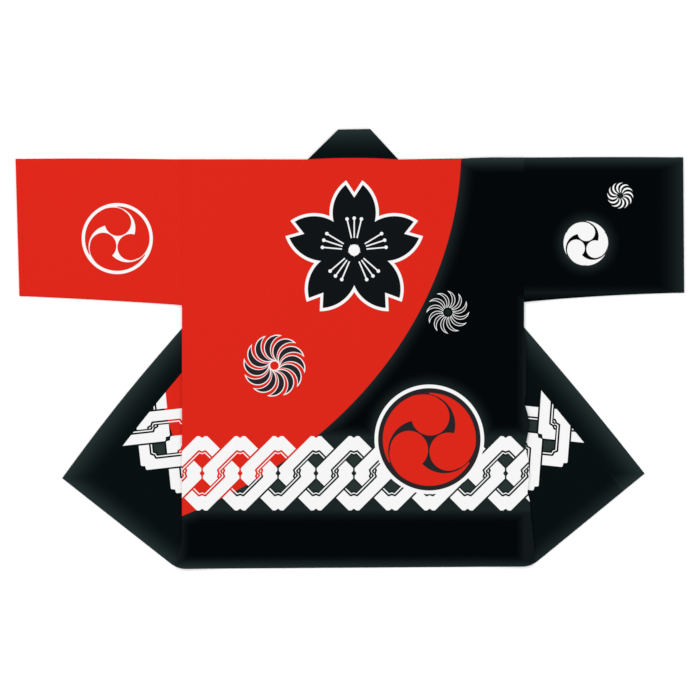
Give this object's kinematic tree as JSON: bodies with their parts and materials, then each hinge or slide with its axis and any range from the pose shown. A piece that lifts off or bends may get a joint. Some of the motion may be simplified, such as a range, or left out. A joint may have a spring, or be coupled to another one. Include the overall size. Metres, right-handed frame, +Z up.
{
  "type": "happi coat",
  "caption": "Hip-length festival coat with straight sleeves, laid flat with its back up, its open fronts folded out below as two wings edged by a collar band.",
  "frame": {"origin": "middle of the whole laid-out coat's outline, on the surface that it lies on", "axes": "+Z up out of the cloth, +Y from the hem to the neck, +X from one cuff to the other, to the right when looking down on the back with the neck at the top"},
  "size_m": [1.2986, 0.854, 0.0042],
  "materials": {
    "cloth_red": "plain-weave cotton, matt, printed",
    "cloth_black": "plain-weave cotton, matt, printed",
    "collar_black": "plain-weave cotton, matt, folded to a firm band"
  },
  "bodies": {
    "root": {"back_panel": "cloth_red", "front_panel_left": "cloth_black", "front_panel_right": "cloth_black", "sleeve_left": "cloth_red", "sleeve_right": "cloth_black", "collar": "collar_black"}
  },
  "joints": []
}
